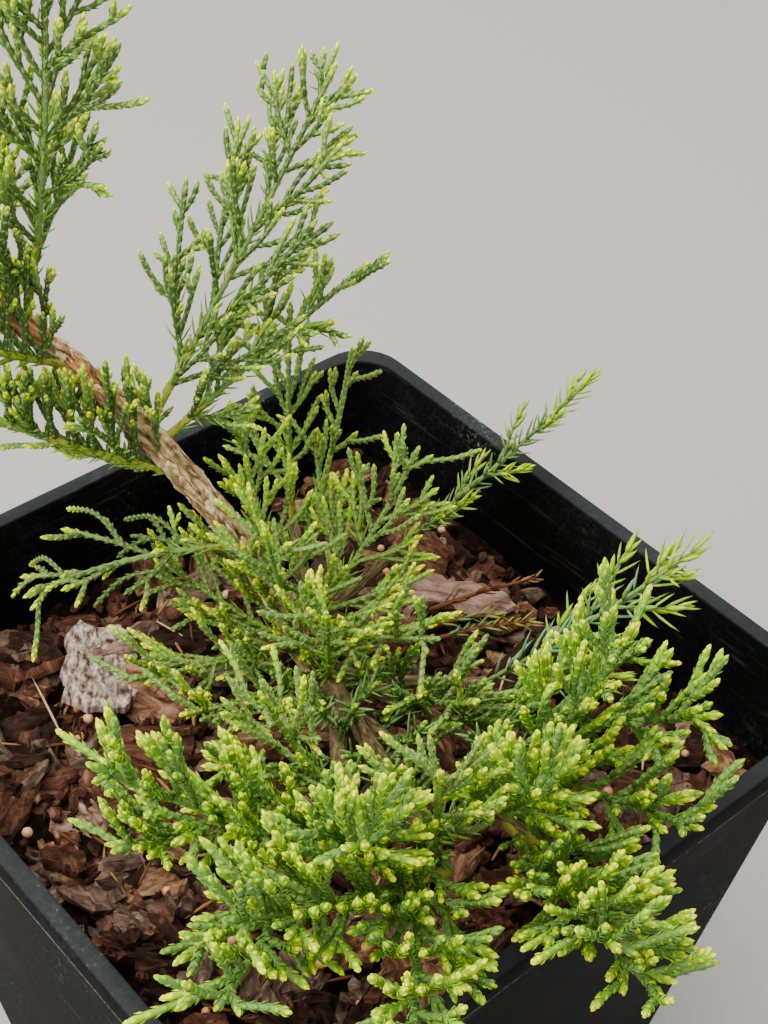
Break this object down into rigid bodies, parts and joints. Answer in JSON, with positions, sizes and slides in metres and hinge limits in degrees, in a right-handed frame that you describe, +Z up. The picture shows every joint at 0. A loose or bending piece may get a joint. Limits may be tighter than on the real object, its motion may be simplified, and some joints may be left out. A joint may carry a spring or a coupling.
{
  "type": "potted conifer",
  "caption": "Young scale-leaved conifer with a leaning stem, low spreading boughs and flat sprays of foliage, in a square tapered nursery pot filled with bark-topped growing medium.",
  "frame": {"origin": "centre of the pot's flat underside", "axes": "+Z up; the pot's four sides lie along X and Y; the stem leans towards -X +Y and the picture looks from -X -Y down at the pot"},
  "size_m": [0.1707, 0.2145, 0.292],
  "materials": {
    "pot_plastic": "matt",
    "bark_mulch": "rough",
    "bark": "rough",
    "foliage": "satin"
  },
  "bodies": {
    "root": {"pot": "pot_plastic", "growing_medium": "bark_mulch", "stem": "bark", "bough_front": "bark", "bough_front_right": "bark", "bough_front_left": "bark", "bough_right": "bark", "bough_right_high": "bark", "bough_right_low": "bark", "bough_back": "bark", "bough_back_right": "bark", "foliage_tall": "foliage", "foliage_upper": "foliage", "foliage_upper_right": "foliage", "foliage_left_stem": "foliage", "foliage_droop": "foliage", "foliage_leader": "foliage", "foliage_leader_back": "foliage", "foliage_leader_side": "foliage", "foliage_centre_high": "foliage", "foliage_centre_back": "foliage", "foliage_centre_front": "foliage", "foliage_left_low": "foliage", "foliage_back_low": "foliage", "foliage_mid_left": "foliage", "foliage_mid_right": "foliage", "foliage_right_fan": "foliage", "foliage_right_fan_low": "foliage", "foliage_right_fan_high": "foliage", "foliage_right_needle": "foliage", "foliage_back_needle": "foliage", "foliage_back_upright": "foliage", "foliage_back_slim": "foliage", "foliage_left_fan": "foliage", "foliage_left_fan_low": "foliage", "foliage_front_fan_left": "foliage", "foliage_front_fan": "foliage", "foliage_front_fan_right": "foliage", "foliage_front_upright": "foliage", "foliage_front_right_upright": "foliage", "foliage_centre_rise": "foliage", "foliage_front_rise": "foliage", "foliage_left_rise": "foliage", "foliage_front_near": "foliage", "foliage_right_near": "foliage", "foliage_front_low": "foliage"}
  },
  "joints": []
}
